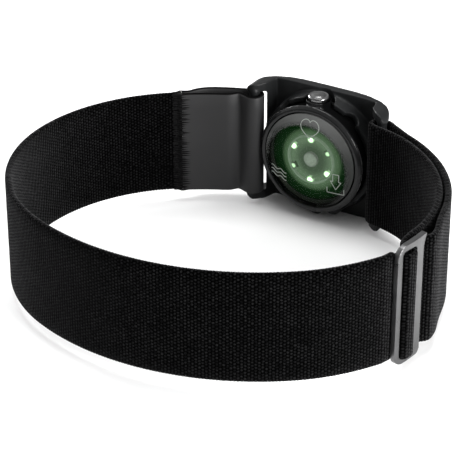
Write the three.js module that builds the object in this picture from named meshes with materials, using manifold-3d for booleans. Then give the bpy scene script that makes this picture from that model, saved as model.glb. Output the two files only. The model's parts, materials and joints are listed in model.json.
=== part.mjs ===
// Optical heart-rate armband: a round sensor pod snapped into a curved holder on a woven elastic
// strap with a metal slider. Millimetres. +Z runs along the strap's width, -Y faces the arm,
// and the origin is the centre of the pod's optical window, on its skin side.
import * as THREE from 'three';
import { mergeVertices } from 'three/addons/utils/BufferGeometryUtils.js';
import Module from 'manifold-3d';

const wasm = await Module();
wasm.setup();

// ---------- driving dimensions ----------
const POD_R = 13.5; // the sensor pod is 27 mm across
const RIM_Y = 0.9; // the bezel's rim stands this far behind the window's crown
const BEZEL_R = 14.0; // the bezel is a little wider than the pod's body
const SPLIT_Y = 6.9; // plane where the two housing shells meet
const SHOULDER_Y = 8.1; // the pod's shoulder, which seats against the holder
const BACK_Y = 10.2; // outer face of the pod
const NECK_R = 11.0; // the pod's outer cap, seen through the holder's ring
const RUN = 0.25; // running gap between pieces that come apart
const GAP = 0.3; // gap between pieces that only rest on each other

const STRAP_W = 26.4; // width of the woven strap
const STRAP_T = 1.5; // thickness of the woven strap
const TAB_T = 1.1; // thickness of one layer of the coated tab
const TAB_GAP = 0.5; // room between the tab's two layers at the seam
const TAB_BOW = 2.1; // how much further the outer layer bows out on its way to the bar

const LOOP_X = 0.8; // centre of the strap's oval
const LOOP_Y = -37.9;
const LOOP_TILT = THREE.MathUtils.degToRad(8.8); // the oval's long axis leans this far
const END_R = 40.8; // radius of the oval's two end arcs, on the strap's mid-line
const END_OFFSET = 9.8; // the end arcs' centres, along the long axis
const SIDE_OFFSET = 16.4; // the side arcs' centres, along the short axis
const SIDE_R = END_R + Math.hypot(END_OFFSET, SIDE_OFFSET); // keeps the four arcs tangent

const HOLDER_X = 19.2; // half length of the holder
const HOLDER_END_Z = 15.8; // half height of the holder at its ends
const HOLDER_MID_Z = 16.2; // half height of the holder at the pod
const HOLDER_FLAT_X = 6; // half length of the straight stretch in its long edges
const HOLDER_CORNER = 3.4;
const SEAT_Y = 8.4; // inner face of the holder's plate
const SLOT_X = 14.5; // inner wall of the strap's slot
const TAB_SLOT_X = 14.6; // inner wall of the tab's slot
const SLOT_Z = 13.45; // half height of each strap slot
const BAR_R = 1.2; // the round bars that the strap ends go round
const TAB_BAR = [-16.9, 3.1];
const STRAP_BAR = [17.8, 3.9];
const BAR_PLAY = 0.2; // room between a bar and what goes round it
const COLLAR_R = 15.3; // outer radius of the wall round the pod
const COLLAR_TOP_Y = 4.8;
const COLLAR_FLAT_X = 14.2; // the collar is cut flat here, so that the strap clears it in its slot

const BUTTON_Y = 4.9; // axis of the side button, which runs along Z
const BUTTON_TRAVEL = 0.4;
const BOSS_R = 3.3; // the housing's boss round the button

const SLIDER_ANGLE = THREE.MathUtils.degToRad(-15.6); // slider's place on the right end arc
const SLIDER_TILT = THREE.MathUtils.degToRad(6); // the slider leans into the strap's return
const SLIDER_SINK = 0.3; // and sits this much further in
const SLIDER_IN = END_R + STRAP_T / 2 + 0.1; // inner and outer faces of the slider's frame
const SLIDER_OUT = SLIDER_IN + 1.3;
const SLIDER_Z = 14.6; // half height of the slider
const SLIDER_RISE = 0.1; // it sits this much above the strap's middle
const SLIDER_WINDOW_Z = 13.1;
const SLIDER_WINDOW_W = 4.9;
const SLIDER_NARROW_BAR = 1.5; // width of the slider's bar where the strap goes in
const SLIDER_WIDE_BAR = 2.7; // and where it comes out
const DRAWN_IN_W = STRAP_W - 1.2; // the strap narrows a little inside the slider's window
const SLIDER_REACH = 6; // the strap pieces that travel with the slider end this far from its middle
const LAYER_STEP = STRAP_T + 0.5; // from one layer of the strap to the next
const BAR_PITCH_R = END_R + 1; // radius at which distances along the slider are measured

const ROUND = 48; // segments of the pod's turned pieces
const SMALL = 20; // segments of small turned pieces
const DEG = Math.PI / 180;

// ---------- materials ----------
const material = (colour, roughness, metalness = 0) =>
  new THREE.MeshStandardMaterial({ color: colour, roughness, metalness });
const finishes = {
  strap: material(0x121213, 0.92),
  tab: material(0x2f2f31, 0.6),
  thread: material(0x0d0d0e, 0.85),
  holder: material(0x27282a, 0.38),
  housing: material(0x17181a, 0.35),
  window: material(0x10160f, 0.06),
  board: material(0x0c3a1c, 0.5),
  chip: material(0x101010, 0.45),
  led: material(0xc8ffbe, 0.3),
  photodiode: material(0x6f726b, 0.35),
  metal: material(0xa3a4a5, 0.38, 1),
  button: material(0xb4b6b8, 0.25, 1),
  contact: material(0xd0a54a, 0.3, 1),
  cell: material(0x9a9ca0, 0.3, 1),
  rubber: material(0x1a1a1a, 0.8),
};

// ---------- solids ----------
/** A manifold-3d solid from a closed three.js geometry, its faces turned outwards. */
function solid(geometry) {
  const bare = geometry.index ? geometry.toNonIndexed() : geometry.clone();
  bare.deleteAttribute('normal');
  bare.deleteAttribute('uv');
  const merged = mergeVertices(bare, 1e-4);
  const p = merged.attributes.position;
  const index = merged.index.array;
  const corner = (k) => new THREE.Vector3().fromBufferAttribute(p, k);
  const triangles = [];
  let volume = 0;
  for (let i = 0; i < index.length; i += 3) {
    const [a, b, c] = [index[i], index[i + 1], index[i + 2]];
    if (a === b || b === c || a === c) continue;
    triangles.push([a, b, c]);
    volume += corner(a).dot(corner(b).cross(corner(c)));
  }
  const outward = volume < 0 ? triangles.map(([a, b, c]) => [a, c, b]) : triangles;
  const mesh = new wasm.Mesh({
    numProp: 3,
    vertProperties: new Float32Array(p.array),
    triVerts: new Uint32Array(outward.flat()),
  });
  return new wasm.Manifold(mesh);
}

/** A three.js geometry from a manifold-3d solid. */
function geometryOf(manifold) {
  const mesh = manifold.getMesh();
  const geometry = new THREE.BufferGeometry();
  geometry.setAttribute('position', new THREE.BufferAttribute(new Float32Array(mesh.vertProperties), 3));
  geometry.setIndex(new THREE.BufferAttribute(new Uint32Array(mesh.triVerts), 1));
  geometry.computeVertexNormals();
  return geometry;
}

/** A named mesh of a solid. */
function piece(name, manifold, finish) {
  const mesh = new THREE.Mesh(geometryOf(manifold), finish);
  mesh.name = name;
  return mesh;
}

const vec = (x, y) => new THREE.Vector2(x, y);

/** Turned about the Y axis: profile points are (radius, y). */
function turned(profile, segments = ROUND) {
  const points = profile.map(([r, y]) => vec(r, y));
  const onAxis = profile[0][0] === 0 && profile.at(-1)[0] === 0;
  if (!onAxis) points.push(points[0].clone());
  return solid(new THREE.LatheGeometry(points, segments));
}

/** Turned about the Z axis at (0, y): profile points are (radius, z). */
function turnedUp(profile, y, segments = SMALL) {
  const points = profile.map(([r, z]) => vec(r, z));
  const onAxis = profile[0][0] === 0 && profile.at(-1)[0] === 0;
  if (!onAxis) points.push(points[0].clone());
  const geometry = new THREE.LatheGeometry(points, segments);
  geometry.rotateX(Math.PI / 2);
  geometry.translate(0, y, 0);
  return solid(geometry);
}

/** A disc or ring with its axis along Y. */
function disc(radius, y0, y1, x = 0, z = 0, segments = SMALL) {
  const geometry = new THREE.CylinderGeometry(radius, radius, y1 - y0, segments);
  geometry.translate(x, (y0 + y1) / 2, z);
  return solid(geometry);
}

/** A box from its lowest to its highest corner. */
function block(low, high) {
  const size = high.map((value, i) => value - low[i]);
  const geometry = new THREE.BoxGeometry(...size);
  geometry.translate(...low.map((value, i) => value + size[i] / 2));
  return solid(geometry);
}

/** A plan outline extruded to the given height, centred on z = 0. */
function plank(outline, height, holes = []) {
  const clockwise = THREE.ShapeUtils.isClockWise(outline);
  const shape = new THREE.Shape(clockwise ? [...outline].reverse() : outline);
  for (const hole of holes) shape.holes.push(new THREE.Path(hole));
  const geometry = new THREE.ExtrudeGeometry(shape, { depth: height, bevelEnabled: false });
  geometry.translate(0, 0, -height / 2);
  return solid(geometry);
}

/** The outline of a ribbon of the given thickness along a plan path. */
function ribbonOutline(path, thickness) {
  const side = (sign) => path.map((point, i) => {
    const before = path[Math.max(i - 1, 0)];
    const after = path[Math.min(i + 1, path.length - 1)];
    const along = after.clone().sub(before).normalize();
    return vec(point.x - along.y * sign * thickness / 2, point.y + along.x * sign * thickness / 2);
  });
  return [...side(1), ...side(-1).reverse()];
}

const ribbon = (path, thickness, height) => plank(ribbonOutline(path, thickness), height);

/** Points on a circular arc, both ends included. */
function arc(centre, radius, from, to, steps) {
  return Array.from({ length: steps + 1 }, (_, i) => {
    const angle = from + (to - from) * i / steps;
    return vec(centre.x + radius * Math.cos(angle), centre.y + radius * Math.sin(angle));
  });
}

/** A smooth curve between two points whose normals have the given angles, without its first point. */
function ease(from, fromNormal, to, toNormal) {
  const [a, b] = [fromNormal, toNormal].map((angle) => vec(Math.cos(angle), Math.sin(angle)));
  const [p, q] = [from.dot(a), to.dot(b)];
  const control = vec(p * b.y - q * a.y, q * a.x - p * b.x).divideScalar(a.cross(b));
  return new THREE.QuadraticBezierCurve(from, control, to).getPoints(8).slice(1);
}

/** A rounded rectangle outline centred on the origin. */
function roundedRectangle(width, height, radius) {
  const [x, y] = [width / 2 - radius, height / 2 - radius];
  const quarter = Math.PI / 2;
  const corners = [vec(x, y), vec(-x, y), vec(-x, -y), vec(x, -y)];
  return corners.flatMap((corner, i) => arc(corner, radius, i * quarter, (i + 1) * quarter, 5));
}

// ---------- the strap's oval ----------
/** The oval's arc centre and radius where its outward normal points at this angle. */
function loopArc(angle) {
  const local = angle - LOOP_TILT;
  const join = Math.atan2(SIDE_OFFSET, END_OFFSET);
  const [c, s] = [Math.cos(local), Math.sin(local)];
  const atEnd = Math.abs(s) <= Math.sin(join);
  const offset = atEnd ? vec(Math.sign(c) * END_OFFSET, 0) : vec(0, -Math.sign(s) * SIDE_OFFSET);
  const centre = offset.rotateAround(vec(0, 0), LOOP_TILT).add(vec(LOOP_X, LOOP_Y));
  return { centre, radius: atEnd ? END_R : SIDE_R };
}

/** A point of the strap's mid-line, moved outwards by offset. */
function loopPoint(angle, offset = 0) {
  const { centre, radius } = loopArc(angle);
  const r = radius + offset;
  return vec(centre.x + r * Math.cos(angle), centre.y + r * Math.sin(angle));
}

function loopPath(from, to, steps, offset = 0) {
  return Array.from({ length: steps + 1 }, (_, i) => loopPoint(from + (to - from) * i / steps, offset));
}

const rightEnd = loopArc(LOOP_TILT).centre; // the slider turns about this point
const tabBar = vec(...TAB_BAR);
const strapBar = vec(...STRAP_BAR);

// ---------- holder ----------
function holderFrame() {
  // Plate: a curved profile extruded along Z, trimmed to a rounded outline.
  const outer = new THREE.SplineCurve([
    vec(-HOLDER_X, 2.9), vec(-18.7, 5.7), vec(-16.9, 8.1), vec(-13.5, 9.9), vec(-8, 10.8), vec(0, 11),
    vec(8, 10.8), vec(13.5, 9.9), vec(16.9, 8.1), vec(18.7, 5.7), vec(HOLDER_X, 2.9),
  ]).getPoints(30);
  const inner = [
    vec(18.3, 2.2), vec(17.2, 2.8), vec(16, 3.7), vec(SLOT_X, 5.2), vec(13.7, SEAT_Y),
    vec(-13.7, SEAT_Y), vec(-TAB_SLOT_X, 4.7), vec(-15.7, 3), vec(-16.7, 2), vec(-18.3, 2.1),
  ];
  const plate = plank([...outer, ...inner], 2 * HOLDER_MID_Z + 2);

  const top = new THREE.Shape();
  const cornerX = HOLDER_X - HOLDER_CORNER;
  const cornerZ = HOLDER_END_Z - HOLDER_CORNER;
  const easeX = (HOLDER_FLAT_X + cornerX) / 2;
  top.moveTo(HOLDER_X, -cornerZ);
  for (const [u, v] of [[1, 1], [-1, -1]]) {
    top.lineTo(u * HOLDER_X, v * cornerZ);
    top.quadraticCurveTo(u * HOLDER_X, v * HOLDER_END_Z, u * cornerX, v * HOLDER_END_Z);
    top.quadraticCurveTo(u * easeX, v * HOLDER_MID_Z, u * HOLDER_FLAT_X, v * HOLDER_MID_Z);
    top.lineTo(-u * HOLDER_FLAT_X, v * HOLDER_MID_Z);
    top.quadraticCurveTo(-u * easeX, v * HOLDER_MID_Z, -u * cornerX, v * HOLDER_END_Z);
    top.quadraticCurveTo(-u * HOLDER_X, v * HOLDER_END_Z, -u * HOLDER_X, v * cornerZ);
  }
  const trim = new THREE.ExtrudeGeometry(top, { depth: 20, bevelEnabled: false, curveSegments: 8 });
  trim.rotateX(Math.PI / 2);
  trim.translate(0, 16, 0);
  let frame = plate.intersect(solid(trim));

  // Strap slots, each closed off by a round bar.
  const beyond = HOLDER_X + 1;
  for (const [low, high, barCentre] of [[-beyond, -TAB_SLOT_X, tabBar], [SLOT_X, beyond, strapBar]]) {
    frame = frame.subtract(block([low, -1, -SLOT_Z], [high, 12, SLOT_Z]));
    const bar = plank(arc(barCentre, BAR_R, 0, 2 * Math.PI, 16).slice(1), 2 * SLOT_Z + 1);
    frame = frame.add(bar);
  }

  // Collar round the pod, its edge scalloped, with two release lugs at the bottom.
  let collar = turned([
    [POD_R - 0.5, SEAT_Y + 0.6], [COLLAR_R + 0.4, SEAT_Y + 0.6], [COLLAR_R, SEAT_Y - 0.8],
    [COLLAR_R - 0.3, COLLAR_TOP_Y], [POD_R - 0.5, COLLAR_TOP_Y],
  ]);
  for (const [low, high] of [[COLLAR_FLAT_X, COLLAR_R + 1], [-COLLAR_R - 1, -COLLAR_FLAT_X]]) {
    collar = collar.subtract(block([low, 0, -SLOT_Z], [high, 12, SLOT_Z]));
  }
  frame = frame.add(collar);
  for (const [x, z, radius] of [[0.3, -13.3, 2.5], [5, -12.6, 2.2]]) {
    frame = frame.add(disc(radius, 3.6, SEAT_Y + 0.6, x, z));
  }
  const scallops = [[52, 2.1], [130, 1.7], [0, 2.4], [180, 2.4], [232, 1.9], [308, 1.9]];
  for (const [degrees, radius] of scallops) {
    const scallop = new THREE.CylinderGeometry(radius, radius, 6, SMALL);
    scallop.translate(0, COLLAR_R, 0);
    scallop.rotateX(Math.PI / 2);
    scallop.rotateY(-(degrees - 90) * DEG);
    scallop.translate(0, COLLAR_TOP_Y - 0.4, 0);
    frame = frame.subtract(solid(scallop));
  }

  // Pod seat, the open ring behind it, and the button's notch.
  frame = frame.subtract(disc(POD_R + RUN, -1, SEAT_Y, 0, 0, ROUND));
  frame = frame.subtract(disc(NECK_R + GAP, 0, 14, 0, 0, ROUND));
  frame = frame.subtract(turnedUp([[0, 12], [4, 12], [4, 17], [0, 17]], BUTTON_Y));
  frame = frame.subtract(block([-4, -1, 12], [4, BUTTON_Y, 17]));
  return frame;
}

// ---------- pod ----------
function housingFront() {
  const ring = turned([
    [12.45, 2.65], [12.45, RIM_Y + 0.2], [12.7, RIM_Y], [13.3, RIM_Y], [BEZEL_R, RIM_Y + 0.6],
    [BEZEL_R, RIM_Y + 1.1], [POD_R, RIM_Y + 1.7], [POD_R, SPLIT_Y], [12.3, SPLIT_Y], [12.3, 3.5],
    [11, 3.5], [11, 2.65],
  ]);
  const boss = turnedUp([[0, 12.6], [BOSS_R, 12.6], [BOSS_R - 0.2, 14.9], [0, 14.9]], BUTTON_Y);
  const well = turnedUp([[0, 13.3], [2.85, 13.3], [2.85, 16], [0, 16]], BUTTON_Y);
  const sealSeat = turnedUp([[0, 12.55], [1.95, 12.55], [1.95, 13.15], [0, 13.15]], BUTTON_Y);
  const hole = turnedUp([[0, 11], [1.3, 11], [1.3, 14], [0, 14]], BUTTON_Y);
  return ring.add(boss).subtract(well).subtract(sealSeat).subtract(hole);
}

/** The room that the button's boss takes up in the pieces behind it. */
function bossClearance() {
  const radius = BOSS_R + RUN;
  return turnedUp([[0, 11], [radius, 11], [radius, 16], [0, 16]], BUTTON_Y);
}

function housingBack(pinPlaces) {
  let cap = turned([
    [0, BACK_Y - 1.1], [10, BACK_Y - 1.1], [10, SHOULDER_Y - 0.2], [12.3, SPLIT_Y + RUN],
    [POD_R, SPLIT_Y + RUN], [POD_R, SHOULDER_Y], [NECK_R, SHOULDER_Y], [NECK_R, BACK_Y - 0.4],
    [NECK_R - 0.5, BACK_Y], [0, BACK_Y],
  ]);
  for (const [x, z] of pinPlaces) cap = cap.subtract(disc(1.15, 8, 11, x, z, 16));
  return cap.subtract(bossClearance());
}

function opticalWindow() {
  return turned([
    [0, 0], [2.2, 0], [5, 0.07], [8, 0.25], [10.5, 0.53], [12.2, 0.86], [12.2, 2.35],
    [11.3, 2.35], [11.3, 1.15], [0, 1.15],
  ]);
}

function sensorPod() {
  const pod = new THREE.Group();
  const pinPlaces = [-4.5, -1.5, 1.5, 4.5].map((x) => [x, -7]);
  pod.add(piece('housing_front', housingFront(), finishes.housing));
  pod.add(piece('housing_back', housingBack(pinPlaces), finishes.housing));
  pod.add(piece('optical_window', opticalWindow(), finishes.window));

  const windowSeal = turned([[11.2, 2.43], [12.15, 2.43], [12.15, 2.6], [11.2, 2.6]]);
  pod.add(piece('window_seal', windowSeal, finishes.rubber));
  const housingSeal = turned([
    [12.45, SPLIT_Y + 0.04], [13.2, SPLIT_Y + 0.04], [13.2, SPLIT_Y + 0.2], [12.45, SPLIT_Y + 0.2],
  ]).subtract(bossClearance());
  pod.add(piece('housing_seal', housingSeal, finishes.rubber));

  // Optics: six LEDs round one photodiode, on their own board behind the window.
  const ledRing = 5.15;
  const [boardTop, boardBottom] = [2.1, 2.8];
  const [ledTop, ledBottom] = [1.35, boardTop - 0.05];
  pod.add(piece('optical_board', disc(10.7, boardTop, boardBottom, 0, 0, 32), finishes.board));
  const ledBody = () => block([ledRing - 0.6, ledTop, -0.85], [ledRing + 0.6, ledBottom, 0.85]);
  for (let i = 0; i < 6; i += 1) {
    const place = new THREE.Group();
    place.rotation.y = (i * 60 - 90) * -DEG;
    place.add(piece(`led_${i + 1}`, ledBody(), finishes.led));
    pod.add(place);
  }
  pod.add(piece('photodiode', disc(1.9, ledTop, ledBottom), finishes.photodiode));
  const barrier = turned([[5.95, 1.25], [6.3, 1.25], [6.3, ledBottom], [5.95, ledBottom]], 32);
  pod.add(piece('light_barrier', barrier, finishes.rubber));

  // Main board with its chips, the side switch let into its edge, and the antenna.
  const [mainTop, mainBottom] = [4.5, 5.3];
  const switchNotch = block([-2.2, 4, 8.3], [2.2, 6, 12]);
  const mainBoard = disc(11.4, mainTop, mainBottom, 0, 0, 32).subtract(switchNotch);
  pod.add(piece('main_board', mainBoard, finishes.board));
  pod.add(piece('side_switch', block([-1.9, 4.05, 8.6], [1.9, 5.75, 11.2]), finishes.chip));
  const chips = [['radio_chip', 205, 3, 2.6], ['motion_chip', 150, 2.5, 2.5], ['memory_chip', 335, 2.6, 2]];
  for (const [name, degrees, width, depth] of chips) {
    const place = new THREE.Group();
    place.rotation.y = -degrees * DEG;
    const body = block([9.6 - depth / 2, mainBottom + 0.05, -width / 2], [9.6 + depth / 2, 6.1, width / 2]);
    place.add(piece(name, body, finishes.chip));
    pod.add(place);
  }
  const sector = (radius, from, to) => arc(vec(0, 0), radius, from * DEG, to * DEG, 10);
  const antennaShape = new THREE.Shape([...sector(9.2, 250, 290), ...sector(8.9, 290, 250)]);
  const antenna = new THREE.ExtrudeGeometry(antennaShape, { depth: 1.6, bevelEnabled: false });
  antenna.rotateX(Math.PI / 2);
  antenna.translate(0, 7, 0);
  pod.add(piece('antenna', solid(antenna), finishes.contact));

  pod.add(piece('battery_pad', disc(7.6, mainBottom + 0.05, 5.9, 0, 0, 24), finishes.rubber));
  pod.add(piece('battery', disc(8, 5.95, 8.8, 0, 0, 32), finishes.cell));
  pinPlaces.forEach(([x, z], i) => {
    pod.add(piece(`charge_contact_${i + 1}`, disc(0.85, 9, BACK_Y - 0.1, x, z, 16), finishes.contact));
  });
  const buttonSeal = turnedUp([[1.1, 12.6], [1.85, 12.6], [1.85, 13.1], [1.1, 13.1]], BUTTON_Y, 16);
  pod.add(piece('button_seal', buttonSeal, finishes.rubber));
  return pod;
}

function buttonCap() {
  const seat = 13.3 + BUTTON_TRAVEL + 0.05; // underside of the cap, clear of its well when pressed
  const stemEnd = 11.2 + BUTTON_TRAVEL + 0.1; // the stem's end, clear of the switch when pressed
  return turnedUp([
    [0, stemEnd], [1, stemEnd], [1, seat], [2.55, seat], [2.6, 15.6], [2.35, 15.95],
    [1.9, 15.85], [1.2, 16.1], [0, 16.25],
  ], BUTTON_Y, 24);
}

// ---------- strap ----------
/** A plan point in the slider's frame: s along the strap, h outwards from the strap's mid-line. */
function onSlider([s, h]) {
  const angle = s / BAR_PITCH_R;
  return vec((END_R + h) * Math.cos(angle), (END_R + h) * Math.sin(angle));
}

const sliderSpan = SLIDER_REACH / BAR_PITCH_R; // half angle that the slider's own strap pieces take up
const sliderRise = SLIDER_REACH * Math.sin(SLIDER_TILT) - SLIDER_SINK; // how far out its near end stands
const sliderDip = SLIDER_REACH * Math.sin(SLIDER_TILT) + SLIDER_SINK; // how far in its far end lies
const leadAngle = -40 * DEG; // where the strap that the slider can take up begins
const seamAngle = 126.6 * DEG;
const gapAngle = GAP / END_R;
const stitchSpan = 1.8 / SIDE_R; // half angle of the stitching

function strapMain() {
  const from = seamAngle + gapAngle / 2;
  const to = 2 * Math.PI + leadAngle - gapAngle;
  return ribbon(loopPath(from, to, 84), STRAP_T, STRAP_W);
}

function strapLead() {
  const to = SLIDER_ANGLE - sliderSpan - gapAngle;
  const path = Array.from({ length: 11 }, (_, i) =>
    loopPoint(leadAngle + (to - leadAngle) * i / 10, sliderRise * (i / 10) ** 2));
  return ribbon(path, STRAP_T, STRAP_W);
}

/** The strap's rise over the slider's centre bar, in the slider's own frame. */
function strapHump() {
  const [low, high, leg, turn] = [0, 2.65, 1.75, 0.8];
  const ease = 0.3 * turn;
  const half = [
    [leg - turn, high], [leg - ease, high - ease], [leg, high - turn], [leg, low + turn],
    [leg + ease, low + ease], [leg + turn, low], [SLIDER_REACH, low],
  ];
  const path = [...half.map(([s, h]) => [-s, h]).reverse(), ...half];
  return ribbon(path.map(onSlider), 1, DRAWN_IN_W);
}

/** The strap's sewn end: a flat loop round the centre bar, with a short leg inwards. */
function strapEnd() {
  const box = (half, low, high) =>
    [[-half, low], [half, low], [half, high], [-half, high]].map(onSlider);
  const loop = plank(box(1.05, -0.1, 1.9), DRAWN_IN_W, [box(0.6, 0.4, 1.4)]);
  const leg = [[-0.8, 0], [0.3, -0.6], [1.8, -1.4], [3.4, -1.8], [SLIDER_REACH, -LAYER_STEP]];
  return loop.add(ribbon(leg.map(onSlider), 0.8, STRAP_W));
}

/** The strap from the slider's sunk end to the holder's right bar, round it, and back under itself. */
function strapReturn() {
  const wrap = BAR_R + BAR_PLAY + STRAP_T / 2;
  const from = SLIDER_ANGLE + sliderSpan + gapAngle;
  const to = LOOP_TILT + Math.atan2(SIDE_OFFSET, END_OFFSET);
  const [wrapFrom, wrapTo] = [57 * DEG, 262 * DEG];
  const layer = (offset) => Array.from({ length: 21 }, (_, i) => {
    const share = i / 20;
    return loopPoint(from + (to - from) * share, offset - sliderDip * (1 - share ** 4));
  });
  const outerArc = layer(0);
  const innerArc = layer(-LAYER_STEP).reverse();
  const round = arc(strapBar, wrap, wrapFrom, wrapTo, 12);
  return ribbon([
    ...outerArc,
    ...ease(outerArc.at(-1), to, round[0], wrapFrom),
    ...round.slice(1),
    ...ease(round.at(-1), wrapTo, innerArc[0], to),
    ...innerArc.slice(1),
  ], STRAP_T, STRAP_W);
}

/** The smooth tab: one strip folded round the left bar, its two layers meeting at the seam. */
function strapTab() {
  const wrap = BAR_R + BAR_PLAY + TAB_T / 2;
  const half = (TAB_T + TAB_GAP) / 2;
  const from = seamAngle - gapAngle / 2;
  const stitched = seamAngle - 1.2 * stitchSpan; // up to here the layers are held by the stitching
  const split = 117.5 * DEG; // where the layers part to go round the bar
  const [wrapFrom, wrapTo] = [-80 * DEG, 105 * DEG];
  const innerLayer = loopPath(from, split, 8, -half);
  const outerLayer = Array.from({ length: 8 }, (_, i) => {
    const share = i / 8;
    return loopPoint(split + (stitched - split) * share, half + TAB_BOW * (1 - share ** 3));
  });
  const round = arc(tabBar, wrap, wrapFrom, wrapTo, 12);
  return ribbon([
    ...innerLayer,
    ...ease(innerLayer.at(-1), split, round[0], wrapFrom),
    ...round.slice(1),
    ...ease(round.at(-1), wrapTo, outerLayer[0], split),
    ...outerLayer.slice(1),
    ...loopPath(stitched, from, 2, half),
  ], TAB_T, STRAP_W);
}

/** Overlocked stitching: a flat sleeve of thread round the joint between strap and tab. */
function tabStitching() {
  const band = (thickness, height) =>
    ribbon(loopPath(seamAngle - stitchSpan, seamAngle + stitchSpan, 4), thickness, height);
  const clear = (thickness, height) =>
    ribbon(loopPath(seamAngle - 2 * stitchSpan, seamAngle + 2 * stitchSpan, 8), thickness, height);
  const inside = 2 * TAB_T + TAB_GAP + 0.15;
  return band(inside + 0.5, STRAP_W + 0.9).subtract(clear(inside, STRAP_W + 0.3));
}

// ---------- slider ----------
/** A flat outline in (along the strap, height), extruded outwards through the slider's frame. */
function radialPrism(outline) {
  const depth = 8;
  const geometry = new THREE.ExtrudeGeometry(new THREE.Shape(outline), { depth, bevelEnabled: false });
  const basis = new THREE.Matrix4().makeBasis(
    new THREE.Vector3(0, 1, 0), new THREE.Vector3(0, 0, 1), new THREE.Vector3(1, 0, 0),
  );
  geometry.applyMatrix4(basis);
  geometry.translate(SLIDER_IN - depth / 2, 0, 0);
  return solid(geometry);
}

/** The slider's outline: round on its near side, with an ear at its upper far corner. */
function sliderOutline() {
  const near = -SLIDER_WINDOW_W / 2 - SLIDER_NARROW_BAR;
  const far = SLIDER_WINDOW_W / 2 + SLIDER_WIDE_BAR;
  const [corner, flare] = [3.2, 1.1];
  const shape = new THREE.Shape();
  shape.moveTo(near, corner - SLIDER_Z);
  shape.lineTo(near, SLIDER_Z - corner);
  shape.quadraticCurveTo(near, SLIDER_Z, near + corner, SLIDER_Z);
  shape.lineTo(far + flare / 2, SLIDER_Z);
  shape.quadraticCurveTo(far + flare + 0.3, SLIDER_Z, far + flare, SLIDER_Z - 0.7);
  shape.quadraticCurveTo(far, SLIDER_Z - 2, far, SLIDER_Z - 4);
  shape.lineTo(far, 1.5 - SLIDER_Z);
  shape.quadraticCurveTo(far, -SLIDER_Z, far - 1.5, -SLIDER_Z);
  shape.lineTo(near + corner, -SLIDER_Z);
  shape.quadraticCurveTo(near, -SLIDER_Z, near, corner - SLIDER_Z);
  return shape.getPoints(6).slice(1);
}

function sliderFrame() {
  const half = (SLIDER_REACH + 1.5) / BAR_PITCH_R;
  const centre = vec(0, 0);
  const plate = plank([
    ...arc(centre, SLIDER_OUT, -half, half, 12), ...arc(centre, SLIDER_IN, half, -half, 12),
  ], 2 * SLIDER_Z + 1);
  const window = radialPrism(roundedRectangle(SLIDER_WINDOW_W, 2 * SLIDER_WINDOW_Z, 1));
  const barSection = [[-0.5, 0.5], [0.5, 0.5], [0.5, 1.3], [-0.5, 1.3]].map(onSlider);
  const bar = plank(barSection, 2 * SLIDER_WINDOW_Z + 1);
  const frame = plate.intersect(radialPrism(sliderOutline())).subtract(window).add(bar);
  return frame.translate([0, 0, SLIDER_RISE]);
}

// ---------- assembly ----------
const armband = new THREE.Group();
armband.add(piece('holder_frame', holderFrame(), finishes.holder));

const pod = sensorPod();
pod.add(piece('button_cap', buttonCap(), finishes.button));
armband.add(pod);

armband.add(piece('strap_main', strapMain(), finishes.strap));
armband.add(piece('strap_lead', strapLead(), finishes.strap));
armband.add(piece('strap_return', strapReturn(), finishes.strap));
armband.add(piece('strap_tab', strapTab(), finishes.tab));
armband.add(piece('tab_stitching', tabStitching(), finishes.thread));

const onArc = new THREE.Group(); // the slider's place on the strap's end arc
onArc.position.set(rightEnd.x, rightEnd.y, 0);
onArc.rotation.z = SLIDER_ANGLE;
const slider = new THREE.Group(); // the slider itself, leaning about its own middle
const middle = new THREE.Vector3(SLIDER_IN, 0, 0);
slider.rotation.z = SLIDER_TILT;
slider.position.copy(middle).sub(middle.clone().applyEuler(slider.rotation));
slider.position.x -= SLIDER_SINK;
slider.add(piece('slider_frame', sliderFrame(), finishes.metal));
slider.add(piece('strap_hump', strapHump(), finishes.strap));
slider.add(piece('strap_end', strapEnd(), finishes.strap));
onArc.add(slider);
armband.add(onArc);

export default armband;
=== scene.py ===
"""An optical heart-rate armband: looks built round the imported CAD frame.

Lengths are in metres, in the frame's own axes. Names ending in _MM or _mm are in millimetres.
"""

import json
import math
import random

import bmesh
import bpy
import numpy as np
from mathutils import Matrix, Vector
from mathutils.bvhtree import BVHTree


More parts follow.
